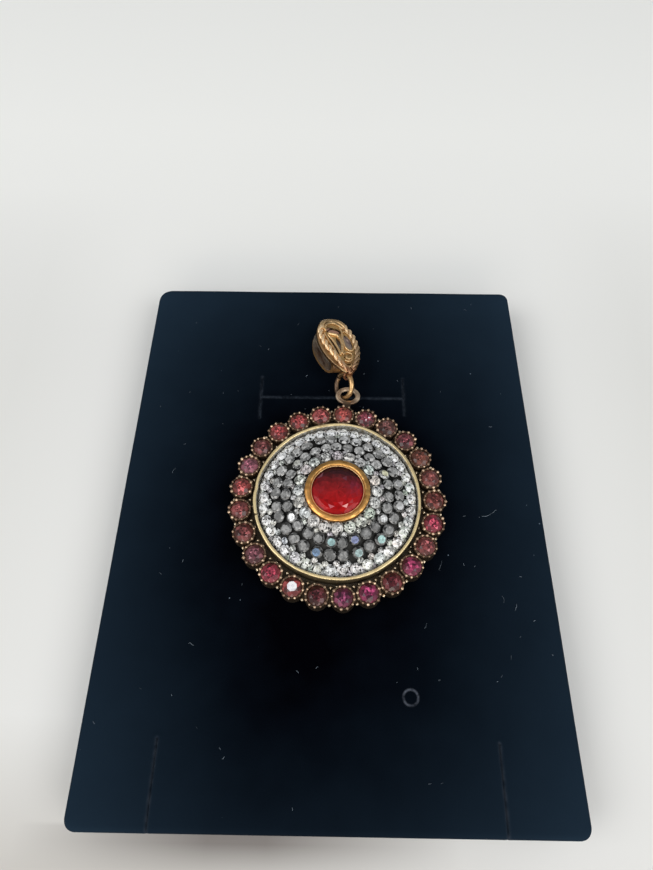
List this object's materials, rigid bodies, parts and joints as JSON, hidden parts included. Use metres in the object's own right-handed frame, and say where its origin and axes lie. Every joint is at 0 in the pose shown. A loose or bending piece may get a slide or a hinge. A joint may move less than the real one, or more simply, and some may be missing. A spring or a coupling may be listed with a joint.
{
  "type": "gemstone pendant on display pad",
  "caption": "Round antique bronze pendant with a red centre stone, stone pavé dome and coloured edge stones, lying on a black velvet display pad.",
  "frame": {"origin": "middle of the pad's underside", "axes": "+X to the pendant's right, +Y from the disc towards the bail, +Z out of the pendant's face"},
  "size_m": [0.066, 0.087, 0.0145],
  "materials": {
    "velvet": "black flocked velvet, navy sheen at the sides",
    "antique_bronze": "darkened bronze, bright on the bead tips",
    "pale_brass": "worn pale gold plating",
    "black_clay": "black epoxy clay, slightly glossy",
    "warm_gold": "warm gold, satin with a bright lip",
    "antique_gold": "antique gold with dark recesses",
    "deep_red_glass": "cut and polished, foil back",
    "clear_crystal": "cut and polished, foil back",
    "grey_crystal": "hematite grey coating",
    "coral_glass": "cut and polished, foil back",
    "hot_pink_glass": "cut and polished, foil back",
    "magenta_glass": "cut and polished, foil back",
    "rose_glass": "cut and polished, foil back",
    "brown_red_glass": "cut and polished, foil back",
    "dark_red_glass": "cut and polished, foil back",
    "plum_glass": "cut and polished, foil back"
  },
  "bodies": {
    "root": {"display_pad": "velvet", "setting": "antique_bronze", "dish": "pale_brass", "pave_bed": "black_clay", "center_bezel": "warm_gold", "center_stone": "deep_red_glass", "rim_stone_01": "coral_glass", "rim_stone_02": "rose_glass", "rim_stone_03": "brown_red_glass", "rim_stone_04": "rose_glass", "rim_stone_05": "brown_red_glass", "rim_stone_06": "rose_glass", "rim_stone_07": "brown_red_glass", "rim_stone_08": "hot_pink_glass", "rim_stone_09": "rose_glass", "rim_stone_10": "magenta_glass", "rim_stone_11": "dark_red_glass", "rim_stone_12": "magenta_glass", "rim_stone_13": "plum_glass", "rim_stone_14": "dark_red_glass", "rim_stone_15": "coral_glass", "rim_stone_16": "hot_pink_glass", "rim_stone_17": "rose_glass", "rim_stone_18": "brown_red_glass", "rim_stone_19": "rose_glass", "rim_stone_20": "coral_glass", "rim_stone_21": "magenta_glass", "rim_stone_22": "brown_red_glass", "rim_stone_23": "coral_glass", "rim_stone_24": "coral_glass", "rim_stone_25": "coral_glass", "pave_clear": "clear_crystal", "pave_grey": "grey_crystal", "jump_ring": "antique_bronze", "bail": "antique_gold"}
  },
  "joints": []
}
